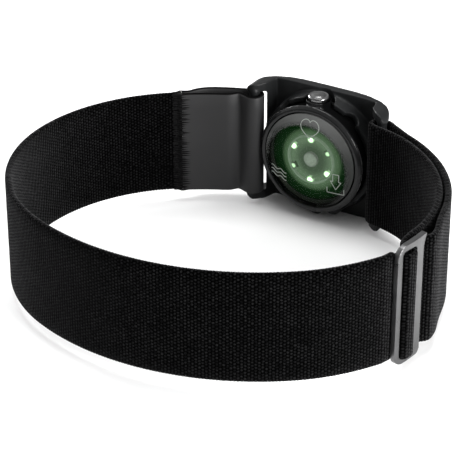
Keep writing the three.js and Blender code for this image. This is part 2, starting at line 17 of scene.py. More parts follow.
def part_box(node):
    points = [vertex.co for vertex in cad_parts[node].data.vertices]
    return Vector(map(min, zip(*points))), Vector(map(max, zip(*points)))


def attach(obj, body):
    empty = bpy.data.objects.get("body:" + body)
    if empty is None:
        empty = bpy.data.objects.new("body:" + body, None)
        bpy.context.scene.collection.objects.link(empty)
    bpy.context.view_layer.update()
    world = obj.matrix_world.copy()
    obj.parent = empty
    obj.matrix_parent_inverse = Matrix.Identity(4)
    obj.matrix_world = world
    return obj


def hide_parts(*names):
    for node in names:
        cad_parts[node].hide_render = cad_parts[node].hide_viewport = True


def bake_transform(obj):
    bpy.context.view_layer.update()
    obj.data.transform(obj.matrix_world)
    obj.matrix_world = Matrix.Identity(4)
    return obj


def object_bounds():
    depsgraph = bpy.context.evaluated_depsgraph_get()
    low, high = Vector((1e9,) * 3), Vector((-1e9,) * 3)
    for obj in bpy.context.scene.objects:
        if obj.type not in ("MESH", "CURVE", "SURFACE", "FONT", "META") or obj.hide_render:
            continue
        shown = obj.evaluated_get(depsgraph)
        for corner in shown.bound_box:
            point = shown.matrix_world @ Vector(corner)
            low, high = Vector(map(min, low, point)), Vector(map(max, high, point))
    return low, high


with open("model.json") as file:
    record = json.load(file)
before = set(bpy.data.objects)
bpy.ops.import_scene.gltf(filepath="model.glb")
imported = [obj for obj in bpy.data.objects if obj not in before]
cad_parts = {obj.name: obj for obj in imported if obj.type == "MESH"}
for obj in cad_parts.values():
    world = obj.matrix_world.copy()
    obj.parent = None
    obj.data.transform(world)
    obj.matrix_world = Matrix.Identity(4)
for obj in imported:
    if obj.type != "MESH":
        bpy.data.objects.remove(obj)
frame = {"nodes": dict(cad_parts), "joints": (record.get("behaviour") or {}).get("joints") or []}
CAD_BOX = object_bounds()
NODES = frame["nodes"]
MM = 0.001

# ---------- driving sizes of the looks ----------
RIB_PITCH = 0.74 * MM  # the woven strap's ribs, which run across its width
RIB_DEPTH = 0.11 * MM
STITCH_PITCH = 0.8 * MM  # the stitches along each rib
THREAD_PITCH = 0.55 * MM  # the overlocked threads at the tab's seam
SEAM_SEED = 7
STEP = RIB_PITCH / 6  # between the strap's cross-sections
STRAP_ROUNDING = 0.4 * MM  # how widely the strap's path is rounded off
TAB_STEP_MM = 0.15
TAB_ROUNDING = 0.5 * MM
INK_WIDTH = 0.2 * MM  # the lines printed on the window
INK_STEP = 0.15 * MM
FACE_ANGLE = 30  # degrees: edges sharper than this stay sharp on CAD parts and printed lines
SOFT_ANGLE = 60  # the same for the woven and coated bands
THREAD_ANGLE = 70  # and for the seam's threads


# ---------- material helpers ----------
class NodeGraph:
    """A small node-tree builder: every call adds one node and returns its output socket."""

    def __init__(self, tree, output_kind):
        self.tree = tree
        self.tree.nodes.clear()
        self.output = self.tree.nodes.new(output_kind)

    def _feed(self, socket, value):
        if isinstance(value, bpy.types.NodeSocket):
            self.tree.links.new(value, socket)
        elif isinstance(value, tuple) and len(value) == 3 and socket.type == "RGBA":
            socket.default_value = (*value, 1)
        else:
            socket.default_value = value

    def node(self, kind, output=0, inputs=(), **settings):
        made = self.tree.nodes.new("ShaderNode" + kind)
        for key, value in settings.items():
            setattr(made, key, value)
        for key, value in dict(inputs).items():
            self._feed(made.inputs[key], value)
        return made.outputs[output]

    def math(self, operation, a, b=0.0, c=0.0):
        return self.node("Math", inputs={0: a, 1: b, 2: c}, operation=operation)

    def noise(self, where, scale, detail=2.0):
        return self.node("TexNoise", inputs={"Vector": where, "Scale": scale, "Detail": detail})

    def mix(self, factor, first, second):
        """A blend of two colours, which are the node's sockets 6 and 7."""
        inputs = {0: factor, 6: first, 7: second}
        return self.node("Mix", inputs=inputs, output=2, data_type="RGBA")

    def ramp(self, value, *stops):
        """A colour ramp: stops are (position, grey or colour)."""
        socket = self.node("ValToRGB", inputs={"Fac": value})
        elements = socket.node.color_ramp.elements
        for i, (position, colour) in enumerate(stops):
            element = elements[i] if i < 2 else elements.new(position)
            element.position = position
            element.color = (*(colour if isinstance(colour, tuple) else (colour,) * 3), 1)
        return socket

    def bump(self, height, strength, distance):
        inputs = {"Height": height, "Strength": strength, "Distance": distance}
        return self.node("Bump", inputs=inputs)

    def surface(self, socket):
        self.tree.links.new(socket, self.output.inputs["Surface"])


class Shader(NodeGraph):
    """A material's nodes."""

    def __init__(self, name):
        self.material = bpy.data.materials.new(name)
        self.material.use_nodes = True
        super().__init__(self.material.node_tree, "ShaderNodeOutputMaterial")

    def finish(self, **inputs):
        """A principled surface: keyword names are socket names with _ for spaces."""
        named = {key.replace("_", " "): value for key, value in inputs.items()}
        self.surface(self.node("BsdfPrincipled", inputs=named))
        return self.material


def object_place(shader):
    return shader.node("TexCoord", output="Object")


def object_axis(shader, axis):
    """One coordinate of the shaded point, in the piece's own axes."""
    return shader.node("SeparateXYZ", output=axis, inputs={"Vector": object_place(shader)})


def woven(name="woven_elastic"):
    """Black woven elastic: staggered stitches on ribs, with speckle, painted shading of their relief,
    and a sheen painted into the colour at grazing angles.
    """
    s = Shader(name)
    uv = s.node("UVMap", uv_map="along")
    along = s.node("SeparateXYZ", inputs={"Vector": uv})
    across = along.node.outputs["Y"]
    column = s.math("DIVIDE", along, RIB_PITCH)
    odd = s.math("MODULO", s.math("FLOOR", column), 2.0)
    wobble = s.math("MULTIPLY", s.noise(uv, 700.0, 1.0), 0.8)
    row = s.math("ADD", s.math("DIVIDE", across, STITCH_PITCH), s.math("MULTIPLY", odd, 0.5))
    row = s.math("ADD", row, wobble)
    hill = s.math("ABSOLUTE", s.math("SINE", s.math("MULTIPLY", column, math.pi)))
    bead = s.math("ABSOLUTE", s.math("SINE", s.math("MULTIPLY", row, math.pi)))
    rib = s.math("ADD", s.math("MULTIPLY", s.math("POWER", hill, 0.6), 0.55), 0.45)
    rounded_bead = s.math("MULTIPLY", s.math("POWER", bead, 0.6), 0.85)
    stitch = s.math("MULTIPLY", rib, s.math("ADD", rounded_bead, 0.15))
    between_ribs = s.math("GREATER_THAN", 0.5, hill)
    between_stitches = s.math("GREATER_THAN", 0.6, bead)
    hole = s.math("MULTIPLY", between_ribs, between_stitches)
    fibre = s.noise(uv, 4200.0, 3.0)
    speck = s.noise(uv, 1500.0, 3.0)
    patch = s.noise(uv, 240.0, 2.0)
    height = s.math("ADD", stitch, s.math("MULTIPLY", fibre, 0.5))
    speckle = s.math("ADD", s.math("MULTIPLY", speck, 1.4), s.math("MULTIPLY", patch, 0.4))
    # The weave's tone follows its relief: painted highlight on the stitches' tops and painted shade
    # in the holes between ribs and stitches, with random speckle on top.
    lit = s.math("MULTIPLY", stitch, speckle)
    lit = s.math("MULTIPLY", lit, s.math("SUBTRACT", 1.0, s.math("MULTIPLY", hole, 0.9)))
    colour = s.ramp(lit, (0.15, 0.0001), (0.45, 0.0006), (0.75, (0.0026, 0.0026, 0.0027)),
                    (1.0, (0.0090, 0.0090, 0.0092)))
    # Painted sheen: the colour is made lighter where the strap is seen at a grazing angle.
    glance = s.node("LayerWeight", output="Facing", inputs={"Blend": 0.5})
    painted_grazing_sheen = s.math("MULTIPLY", s.math("POWER", glance, 2.4), s.math("MULTIPLY", lit, 1.5))
    painted_sheen_colour = (0.05, 0.05, 0.051)
    return s.finish(
        Base_Color=s.mix(painted_grazing_sheen, colour, painted_sheen_colour), Roughness=0.85,
        Normal=s.bump(height, 1.0, 0.16 * MM), Sheen_Weight=0.03, Sheen_Roughness=0.2,
        Sheen_Tint=(0.8, 0.8, 0.82), Specular_IOR_Level=0.0,
    )


def coated(half_width, name="coated_tab"):
    """The tab's smooth coated textile, dark along its cut edges."""
    s = Shader(name)
    place = object_place(s)
    grain = s.noise(place, 6500.0, 3.0)
    cloud = s.noise(place, 160.0, 2.0)
    face = s.ramp(cloud, (0.3, (0.0172, 0.0172, 0.0177)), (0.7, (0.0192, 0.0192, 0.0197)))
    from_middle = s.math("DIVIDE", s.math("ABSOLUTE", object_axis(s, "Z")), half_width)
    cut = s.ramp(from_middle, (0.975, 0.0), (0.99, 1.0))
    cut_colour = (0.003, 0.003, 0.003)
    rough = s.math("ADD", s.math("MULTIPLY", cloud, 0.12), 0.5)
    gloss = s.math("MULTIPLY", s.math("SUBTRACT", 1.0, cut), 0.22)
    return s.finish(
        Base_Color=s.mix(cut, face, cut_colour), Roughness=rough,
        Normal=s.bump(grain, 0.16, 0.03 * MM), Specular_IOR_Level=gloss,
    )


def threads(name="black_thread"):
    """The overlocked seam's dull black thread."""
    s = Shader(name)
    place = object_place(s)
    fibre = s.noise(place, 7000.0, 4.0)
    tone = s.noise(place, 1200.0, 2.0)
    colour = s.ramp(tone, (0.35, (0.0008, 0.0008, 0.0009)), (0.7, (0.0065, 0.0065, 0.0067)))
    return s.finish(
        Base_Color=colour, Roughness=0.8, Normal=s.bump(fibre, 0.5, 0.05 * MM), Sheen_Weight=0.03,
        Specular_IOR_Level=0.06,
    )


def moulded(name, dark, light, roughness, grain_scale=4200.0, grain=0.2, gloss=0.5,
            painted_shade_from_mm=None):
    """Moulded plastic: a fine spark-eroded grain and slight tone variation.

    Beyond a given depth in y it has painted shade: it is darker and has no gloss.
    """
    s = Shader(name)
    place = object_place(s)
    fine = s.noise(place, grain_scale, 3.0)
    cloud = s.noise(place, 130.0, 3.0)
    colour = s.ramp(cloud, (0.3, dark), (0.7, light))
    rough = s.math("ADD", s.math("MULTIPLY", cloud, 0.1), roughness - 0.05)
    # Painted shade over the recessed side wall: darker colour and no gloss past the given depth.
    if painted_shade_from_mm is not None:
        span_mm, fade, painted_shade_level = 10, 0.08, 0.4
        depth = s.math("DIVIDE", object_axis(s, "Y"), span_mm * MM)
        edge = painted_shade_from_mm / span_mm
        shown = s.ramp(depth, (edge - fade, 1.0), (edge, painted_shade_level))
        colour = s.mix(shown, (0.0, 0.0, 0.0), colour)
        above = s.math("MAXIMUM", s.math("SUBTRACT", shown, painted_shade_level), 0.0)
        gloss = s.math("MULTIPLY", above, gloss / 0.6)
    return s.finish(
        Base_Color=colour, Roughness=rough, Normal=s.bump(fine, grain, 0.02 * MM),
        Specular_IOR_Level=gloss,
    )


def blasted_metal(name, tone, roughness):
    """Bead-blasted light metal with faint stains and fine dimples."""
    s = Shader(name)
    place = object_place(s)
    fine = s.noise(place, 5200.0, 3.0)
    cloud = s.noise(place, 260.0, 3.0)
    stain = tuple(0.8 * c for c in tone)
    colour = s.ramp(cloud, (0.3, stain), (0.7, tone))
    rough = s.math("ADD", s.math("MULTIPLY", cloud, 0.14), roughness - 0.07)
    return s.finish(
        Base_Color=colour, Metallic=1.0, Roughness=rough, Normal=s.bump(fine, 0.25, 0.02 * MM),
    )


def radial(shader, centre=(0, 0, 0)):
    """Distance from an axis along Y through the centre, in millimetres."""
    ends = {0: object_place(shader), 1: tuple(centre)}
    apart = shader.node("VectorMath", inputs=ends, operation="SUBTRACT")
    x = shader.node("SeparateXYZ", inputs={"Vector": apart})
    z = x.node.outputs["Z"]
    squares = shader.math("ADD", shader.math("MULTIPLY", x, x), shader.math("MULTIPLY", z, z))
    return shader.math("DIVIDE", shader.math("SQRT", squares), MM)


def window_glass(name="window_glass"):
    """The optical window: clear over the optics, with a smoky haze printed towards its rim; the haze
    carries a painted reflection, set off-centre and running from dark at the bottom to light at the
    top.
    """
    s = Shader(name)
    # The haze ring is set off-centre so that it is wider towards the top and right: partly print,
    # partly painted reflection.
    haze_centre, haze_radius_mm, window_height = (-0.8 * MM, 0, -1.7 * MM), 12.5, 24 * MM
    r = s.math("DIVIDE", radial(s, haze_centre), haze_radius_mm)
    fine = s.noise(object_place(s), 900.0, 2.0)
    rough = s.math("ADD", s.math("MULTIPLY", fine, 0.08), 0.1)
    haze = s.ramp(r, (0.84, 0.0), (0.91, 0.75), (0.96, 1.0))
    # Painted reflection on the printed haze: its tone runs from dark at the bottom of the window to
    # light at the top.
    height = s.math("ADD", s.math("DIVIDE", object_axis(s, "Z"), window_height), 0.5)
    tone = s.ramp(height, (0.08, (0.003, 0.004, 0.003)), (0.3, (0.014, 0.016, 0.014)),
                  (0.6, (0.034, 0.037, 0.034)), (0.95, (0.120, 0.122, 0.120)))
    clear = s.node("BsdfTransparent", inputs={"Color": (0.95, 0.99, 0.95)})
    shine = s.node("BsdfGlossy", inputs={"Color": (0.5, 0.5, 0.5), "Roughness": 0.05})
    weak_glance = s.node("Fresnel", inputs={"IOR": 1.1})
    lens = s.node("MixShader", inputs={0: weak_glance, 1: clear, 2: shine})
    haze_look = {"Base Color": tone, "Roughness": rough, "Specular IOR Level": 0.3}
    printed = s.node("BsdfPrincipled", inputs=haze_look)
    s.surface(s.node("MixShader", inputs={0: haze, 1: lens, 2: printed}))
    return s.material


def lit_board(name="optics_board"):
    """The optical board, with the green light of the LEDs round the photodiode painted on it as a
    glow.
    """
    s = Shader(name)
    glow_centre, glow_radius_mm = (0.05 * MM, 0, -0.2 * MM), 11.0
    r = s.math("DIVIDE", radial(s, glow_centre), glow_radius_mm)
    speck = s.noise(object_place(s), 1500.0, 3.0)
    # Painted light: the board is no lamp, so this green glow stands in for the LEDs' light falling on
    # it.
    glow = s.ramp(r, (0.0, (0.046, 0.066, 0.045)), (0.28, (0.050, 0.072, 0.048)),
                  (0.47, (0.100, 0.145, 0.094)), (0.58, (0.074, 0.112, 0.070)),
                  (0.69, (0.042, 0.074, 0.038)), (0.77, (0.0006, 0.009, 0.001)),
                  (1.0, (0.0001, 0.0025, 0.0002)))
    strength = s.math("ADD", s.math("MULTIPLY", speck, 0.6), 0.95)
    return s.finish(
        Base_Color=(0.002, 0.006, 0.002), Roughness=0.6, Specular_IOR_Level=0.05,
        Emission_Color=glow, Emission_Strength=strength,
    )


def glowing(name, colour, centre, strength, reach_mm):
    """A lit face, brightest at its centre and almost dark at reach_mm from it."""
    s = Shader(name)
    speck = s.noise(object_place(s), 2500.0, 2.0)
    away = s.math("DIVIDE", radial(s, centre), reach_mm)
    fade = s.ramp(away, (0.0, 1.0), (0.55, 0.9), (0.8, 0.25), (1.0, 0.05))
    level = s.math("MULTIPLY", s.math("MULTIPLY", s.math("ADD", speck, 0.6), fade), strength)
    return s.finish(
        Base_Color=(0.02, 0.03, 0.02), Roughness=0.5, Emission_Color=colour,
        Emission_Strength=level,
    )


# ---------- mesh helpers ----------
def new_piece(name, verts, faces, material, smooth_below):
    mesh = bpy.data.meshes.new(name)
    mesh.from_pydata([tuple(v) for v in verts], [], faces)
    mesh.validate()
    mesh.update()
    mesh.materials.append(material)
    made = bpy.data.objects.new(name, mesh)
    bpy.context.scene.collection.objects.link(made)
    soften(made, smooth_below)
    return made


def soften(obj, degrees):
    """Smooth shading except over edges sharper than this."""
    obj.data.shade_smooth()
    obj.data.set_sharp_from_angle(angle=math.radians(degrees))


def ring_faces(base, rings, sides):
    """The quads that join each ring of vertices to the next one."""
    return [(base + i * sides + k, base + i * sides + (k + 1) % sides,
             base + (i + 1) * sides + (k + 1) % sides, base + (i + 1) * sides + k)
            for i in range(rings - 1) for k in range(sides)]


def face_outwards(obj, smooth_below, weld=True):
    """Turns every face outwards, after welding doubled vertices where that is asked for."""
    mesh = bmesh.new()
    mesh.from_mesh(obj.data)
    if weld:
        bmesh.ops.remove_doubles(mesh, verts=mesh.verts, dist=1e-7)
        bmesh.ops.dissolve_degenerate(mesh, dist=1e-7, edges=mesh.edges)
    bmesh.ops.recalc_face_normals(mesh, faces=mesh.faces)
    mesh.to_mesh(obj.data)
    mesh.free()
    soften(obj, smooth_below)


def round_edges(node, voxel, passes):
    """Gives a CAD part moulded edges by modifiers: an even remesh, then smoothing."""
    part = NODES[node]
    part.data.shade_smooth()
    remesh = part.modifiers.new("even", "REMESH")
    remesh.mode = "VOXEL"
    remesh.voxel_size = voxel
    remesh.use_smooth_shade = True
    smooth = part.modifiers.new("edges", "SMOOTH")
    smooth.factor = 0.5
    smooth.iterations = passes


def dress(node, material, smooth_below=None):
    """Gives a CAD part its material, and smooth shading where that is asked for."""
    part = NODES[node]
    part.data.materials.clear()
    part.data.materials.append(material)
    if smooth_below is not None:
        soften(part, smooth_below)


# ---------- plan paths, read from the frame ----------
def cap_outline(node):
    """The plan outline of a CAD ribbon's top face, in order, as an array of (x, y)."""
    mesh = NODES[node].data
    points = [tuple(round(c, 7) for c in v.co) for v in mesh.vertices]
    top = max(p[2] for p in points)
    edges = {}
    for polygon in mesh.polygons:
        corners = [points[i] for i in polygon.vertices]
        if all(abs(c[2] - top) < 1e-6 for c in corners):
            for a, b in zip(corners, corners[1:] + corners[:1]):
                if (b, a) in edges:
                    del edges[(b, a)]
                else:
                    edges[(a, b)] = True
    follow = {a: b for a, b in edges}
    start = min(follow)
    loop, here = [start], follow[start]
    while here != start:
        loop.append(here)
        here = follow[here]
    return np.array(loop)[:, :2]


def centre_line(node):
    """The mid-line of a CAD ribbon and its thickness, from its outline between its square ends."""
    loop = cap_outline(node)
    ahead = np.roll(loop, -1, 0) - loop
    behind = loop - np.roll(loop, 1, 0)
    cross = behind[:, 0] * ahead[:, 1] - behind[:, 1] * ahead[:, 0]
    turn = np.degrees(np.arctan2(cross, (behind * ahead).sum(1)))
    square = np.abs(turn - 90) < 3
    ends = [i for i in range(len(loop)) if square[i] and square[(i + 1) % len(loop)]]
    rolled = np.roll(loop, -(ends[0] + 1), 0)
    half = len(loop) // 2
    first, second = rolled[:half], rolled[half:][::-1]
    return (first + second) / 2, float(np.linalg.norm(first[0] - second[0]))


def lengths_along(path):
    return np.r_[0, np.cumsum(np.linalg.norm(np.diff(path, axis=0), axis=1))]


def resample(path, step):
    """Points every step along a polyline."""
    path = np.asarray(path, float)
    lengths = lengths_along(path)
    count = max(2, int(round(lengths[-1] / step)) + 1)
    s = np.linspace(0, lengths[-1], count)
    return np.column_stack([np.interp(s, lengths, path[:, k]) for k in range(path.shape[1])])


def smooth_path(path, step, width):
    """A path resampled evenly and rounded off with a bell of the given width; its ends stay put."""
    points = resample(path, step)
    half = int(3 * width / step)
    before = 2 * points[0] - points[half:0:-1]
    after = 2 * points[-1] - points[-2:-half - 2:-1]
    padded = np.vstack([before, points, after])
    bell = np.exp(-0.5 * (np.arange(-half, half + 1) * step / width) ** 2)
    bell /= bell.sum()
    return np.column_stack([np.convolve(padded[:, k], bell, "valid") for k in range(2)])


def left_normals(points):
    """Unit vectors to the left of a plan path, at each of its points."""
    along = np.gradient(points, axis=0)
    along /= np.linalg.norm(along, axis=1)[:, None]
    return np.column_stack([-along[:, 1], along[:, 0]])


def belt(name, points, section, material):
    """A closed band along a plan path, with the length along it in the UV layer "along".

    section(i) gives the (z, offset) loop at each path point. The offset is to the path's left.
    """
    normals = left_normals(points)
    along = lengths_along(points)
    rings = [section(i) for i in range(len(points))]
    n = len(rings[0])
    verts = []
    for p, normal, ring in zip(points, normals, rings):
        verts += [(p[0] + normal[0] * o, p[1] + normal[1] * o, z) for z, o in ring]
    faces = ring_faces(0, len(points), n)
    faces.append(tuple(range(n))[::-1])
    faces.append(tuple((len(points) - 1) * n + k for k in range(n)))
    made = new_piece(name, verts, faces, material, SOFT_ANGLE)
    layer = made.data.uv_layers.new(name="along")
    ring_of = np.repeat(np.arange(len(points)), n)
    z_of = np.array([z for ring in rings for z, _ in ring])
    side_of = np.array([o for ring in rings for _, o in ring])
    loops = np.zeros(len(made.data.loops), int)
    made.data.loops.foreach_get("vertex_index", loops)
    face_shift = 0.25  # sets the weave's rows on the two faces a little apart
    uv = np.column_stack([along[ring_of[loops]], z_of[loops] + face_shift * side_of[loops]])
    layer.data.foreach_set("uv", uv.astype(np.float32).ravel())
    face_outwards(made, SOFT_ANGLE, weld=False)
    return made


def strap_section(half_width, thickness, rows=13):
    """A strap's cross-section with soft edges, as (z, offset), starting with its left face."""
    half = thickness / 2
    edge, corner = 0.42 * thickness, 0.12 * thickness
    shoulder = 0.74 * half
    z = np.linspace(-half_width + edge, half_width - edge, rows)
    left = [(v, half) for v in z]
    tip = [(half_width - corner, shoulder), (half_width, 0.0), (half_width - corner, -shoulder)]
    right = [(v, -half) for v in z[::-1]]
    other = [(-v, o) for v, o in tip[::-1]]
    return np.array(left + tip + right + other)


# ---------- the woven strap ----------
def ordered(line, start):
    """The line, running away from the end that is nearer to start."""
    near = np.linalg.norm(line[0] - start) <= np.linalg.norm(line[-1] - start)
    return line if near else line[::-1]


STRAP_LOW, STRAP_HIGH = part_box("strap_main")
STRAP_HALF = (STRAP_HIGH.z - STRAP_LOW.z) / 2
PIVOT = np.array(next(j for j in frame["joints"] if j["name"] == "slider_travel")["pos_m"][:2])
main_line, STRAP_T = centre_line("strap_main")
tab_line, TAB_T = centre_line("strap_tab")
main_line = ordered(main_line, tab_line[0])
lead_line = ordered(centre_line("strap_lead")[0], main_line[-1])
hump_line = ordered(centre_line("strap_hump")[0], lead_line[-1])
return_line = ordered(centre_line("strap_return")[0], hump_line[-1])

# The slider's own axes: along the strap, and outwards from the strap's mid-line.
SLIDER_MIDDLE = (hump_line[0] + hump_line[-1]) / 2
SLIDER_REACH = np.linalg.norm(hump_line[-1] - hump_line[0]) / 2
SLIDER_ALONG = (hump_line[-1] - hump_line[0]) / (2 * SLIDER_REACH)
SLIDER_OUT = np.array([SLIDER_ALONG[1], -SLIDER_ALONG[0]])
BEND_R = np.linalg.norm(SLIDER_MIDDLE - PIVOT)


def on_slider(s, h):
    """A plan point s along the slider and h outwards from the strap's mid-line, in millimetres."""
    sag = (SLIDER_REACH ** 2 - (s * MM) ** 2) / (2 * BEND_R)
    return SLIDER_MIDDLE + SLIDER_ALONG * s * MM + SLIDER_OUT * (h * MM + sag)


def beyond(points):
    """How far along the slider's own axis each point lies, in millimetres."""
    return (points - SLIDER_MIDDLE) @ SLIDER_ALONG / MM


def from_slider(points):
    """How far each point is from the slider's middle."""
    return np.linalg.norm(points - SLIDER_MIDDLE, axis=1)


def step_up(x, start, end):
    """A smooth step from 0 at start to 1 at end."""
    t = np.clip((x - start) / (end - start), 0, 1)
    return t * t * (3 - 2 * t)


def shifted(points, amount):
    """The path moved to its right by an amount at each point."""
    return points - left_normals(points) * np.asarray(amount)[:, None]


def hump(x, middle, width):
    """A bell curve of height 1."""
    return np.exp(-0.5 * ((x - middle) / width) ** 2)


def ribbed(points, section, depth):
    """A section function whose faces swell over each rib of the weave and dip between the ribs."""
    along = lengths_along(points)
    depths = np.broadcast_to(depth, len(points))
    edge_share = 0.3  # the strap's edges are scalloped by this share of the dip

    def at(i):
        ring = section(i).copy()
        f = along[i] / RIB_PITCH % 1.0
        dip = depths[i] * (1 - math.sqrt(max(0.0, 1 - (2 * f - 1) ** 2)))
        on_face = np.minimum(1, np.abs(ring[:, 1]) / (0.3 * STRAP_T))
        on_edge = np.abs(ring[:, 0]) > STRAP_HALF - STRAP_T
        ring[:, 1] -= np.sign(ring[:, 1]) * dip * on_face
        ring[:, 0] -= np.sign(ring[:, 0]) * edge_share * dip * on_edge
        return ring
    return at


def between(first, second, share):
    """A section function that goes from one section to another by the share at each point."""
    return lambda i: first + (second - first) * share[i]


def reduced(narrower, share, lower):
    """The strap's section made narrower at each edge, thinner by a share, and lower."""
    return strap_section(STRAP_HALF - narrower, share * STRAP_T) - [lower, 0]


material_weave = woven()
plain = strap_section(STRAP_HALF, STRAP_T)

# From the seam round the loop and over the slider's middle bar. It ends under the slider's far bar,
# and it is drawn in where it passes through the slider's frame.
MAIN_END_MM = 3.9
FRAME_EDGE_MM, FRAME_INSIDE_MM = 3.6, 2.4
NEAR_SLIDER, AT_SLIDER = 20 * MM, 12 * MM
main_path = smooth_path(np.vstack([main_line, lead_line, hump_line]), STEP, STRAP_ROUNDING)
past_end = (from_slider(main_path) < NEAR_SLIDER) & (beyond(main_path) > MAIN_END_MM)
main_path = main_path[~past_end]
in_frame = step_up(-np.abs(beyond(main_path)), -FRAME_EDGE_MM, -FRAME_INSIDE_MM)
in_frame = in_frame * (from_slider(main_path) < AT_SLIDER)
drawn_in = reduced(narrower=0.35 * MM, share=0.64, lower=0.3 * MM)
main_depth = RIB_DEPTH * (1 + 0.4 * in_frame)
main_section = ribbed(main_path, between(plain, drawn_in, in_frame), main_depth)
strap = belt("woven_strap", main_path, main_section, material_weave)
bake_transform(strap)
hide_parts("strap_main", "strap_lead", "strap_hump")

# Out from under the slider's far bar, where it stands proud, round the holder's bar, and back
# underneath itself to the slider's middle bar.
UNDER_FAR_BAR = ((3.5, -0.15), (4.4, -0.1), (5.4, -0.05))
ROUND_MIDDLE_BAR = (
    (3.4, -1.8), (1.8, -1.2), (0.9, -0.2), (0.9, 1.0), (0.5, 1.75), (-0.5, 1.75), (-0.9, 1.0),
    (-0.9, 0.3), (-0.5, 0.05), (0.3, 0.05))
# Shares of the return's length: the outer layer's end, the holder's bar and the wrap to each side
# of it, and where the sewn end starts and is thinnest.
OUTER_LAYER, AT_BAR, WRAP = 0.4, 0.5, 0.1
SEWN_FROM, SEWN_FULL = 0.955, 0.985
PROUD_AT_MM, PROUD_BY = 8.6, 2.1 * MM  # where the outer layer stands highest, and by how much
SLOT_PUSH, SLOT_WIDTH = 0.5 * MM, 0.9 * MM  # how far the wrap is pushed into the holder's slot
return_path = smooth_path(np.vstack([
    [on_slider(s, h) for s, h in UNDER_FAR_BAR], return_line,
    [on_slider(s, h) for s, h in ROUND_MIDDLE_BAR]]), STEP, STRAP_ROUNDING)
order = np.linspace(0, 1, len(return_path))
wrapped = np.abs(order - AT_BAR) < WRAP
innermost = return_path[wrapped, 0].min()
return_path[:, 0] -= SLOT_PUSH * hump(return_path[:, 0], innermost, SLOT_WIDTH) * wrapped
s_out = beyond(return_path)
rise = PROUD_BY * hump(s_out, PROUD_AT_MM, np.where(s_out < PROUD_AT_MM, 1.55, 4.2))
rise[order > OUTER_LAYER] = 0
outwards = np.sign(left_normals(return_path)[0] @ -SLIDER_OUT)
return_path = shifted(return_path, outwards * rise)
sewn_end = step_up(order, SEWN_FROM, SEWN_FULL)
sewn = reduced(narrower=0.75 * MM, share=0.34, lower=0.25 * MM)
round_bar = step_up(-np.abs(order - AT_BAR), -WRAP, -0.06)
near_start = step_up(-s_out, -9.5, -7.5) * (order < OUTER_LAYER)
return_depth = RIB_DEPTH * (1 + 1.3 * round_bar + near_start) * (1 - 0.8 * sewn_end)
return_section = ribbed(return_path, between(plain, sewn, sewn_end), return_depth)
strap_back = belt("woven_strap_return", return_path, return_section, material_weave)
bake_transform(strap_back)
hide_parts("strap_return", "strap_end")

# ---------- the coated tab and its overlocked seam ----------
TAB_HALF = (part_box("strap_tab")[1].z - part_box("strap_tab")[0].z) / 2
if tab_line[0][1] > tab_line[-1][1]:
    tab_line = tab_line[::-1]
tab_path = smooth_path(tab_line, TAB_STEP_MM * MM, TAB_ROUNDING)
from_fold = (np.arange(len(tab_path)) - np.argmax(tab_path[:, 0])) * TAB_STEP_MM
PUFF_MM, PINCH_MM = (0.75, -2.3, 1.3), (-1.2, -6.0, 1.1)  # each a height, a place and a width
puff, pinch = (height * hump(from_fold, place, width) for height, place, width in (PUFF_MM, PINCH_MM))
tab_path = shifted(tab_path, (puff + pinch) * MM)
tab_ring = strap_section(TAB_HALF, TAB_T, rows=9)
tab = belt("coated_tab", tab_path, lambda i: tab_ring, coated(TAB_HALF))
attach(tab, "root")
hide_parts("strap_tab")


def overlock(name):
    """The seam's threads: strands over both faces, tapering out over the tab at random lengths."""
    rng = random.Random(SEAM_SEED)
    seam = main_line[0]
    ahead = main_line[0] - main_line[2]
    ahead /= np.linalg.norm(ahead)
    outward = np.array([-ahead[1], ahead[0]])
    if outward @ (seam - PIVOT) < 0:
        outward = -outward
    reach = 1.8 * MM
    strands = int(2 * STRAP_HALF / THREAD_PITCH)
    sides, steps = 7, 12
    on_strap = 0.8 * MM  # the strands' height off the seam's mid-line over the strap
    on_tab = {-1: 1.47 * MM, 1: 1.33 * MM}  # and over each face of the tab
    flatness = 0.6
    verts, faces = [], []
    for face in (-1, 1):
        for k in range(strands):
            z = -STRAP_HALF + (k + 0.5 + rng.uniform(-0.15, 0.15)) * 2 * STRAP_HALF / strands
            start = -reach - rng.uniform(0, 0.3) * MM
            end = reach + rng.uniform(-0.6, 1.0) * MM
            radius = THREAD_PITCH * rng.uniform(0.34, 0.46)
            skew = rng.uniform(-0.2, 0.2) * MM
            base = len(verts)
            for i in range(steps + 1):
                t = i / steps
                s = start + (end - start) * t
                height = on_strap + (on_tab[face] - on_strap) * step_up(s / MM, -0.9, 0.1)
                swell = min(1.0, (t + 0.03) / 0.1) ** 0.5 * (1 - 0.9 * step_up(t, 0.5, 1.0))
                centre = seam + ahead * s + outward * face * height
                for j in range(sides):
                    c = 2 * math.pi * j / sides
                    x, y = centre + outward * face * radius * flatness * swell * math.cos(c)
                    verts.append((x, y, z + skew * t + radius * swell * math.sin(c)))
            faces += ring_faces(base, steps + 1, sides)
            faces.append(tuple(base + j for j in range(sides))[::-1])
            faces.append(tuple(base + steps * sides + j for j in range(sides)))
    # A core of packed thread fills the joint between the strap's end and the tab's.
    core_mm = ((-0.7, -0.85), (0.3, -1.36), (0.3, 1.26), (-0.7, 0.85))  # along and outwards
    core_inset = 0.1 * MM
    base = len(verts)
    for z in (-STRAP_HALF + core_inset, STRAP_HALF - core_inset):
        for s, height in core_mm:
            x, y = seam + ahead * s * MM + outward * height * MM
            verts.append((x, y, z))
    faces += [tuple(base + k for k in quad) for quad in (
        (0, 1, 2, 3), (7, 6, 5, 4), (0, 4, 5, 1), (1, 5, 6, 2), (2, 6, 7, 3), (3, 7, 4, 0))]
    made = new_piece(name, verts, faces, threads(), THREAD_ANGLE)
    face_outwards(made, THREAD_ANGLE)
    return made


seam_threads = overlock("seam_threads")
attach(seam_threads, "root")
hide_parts("tab_stitching")

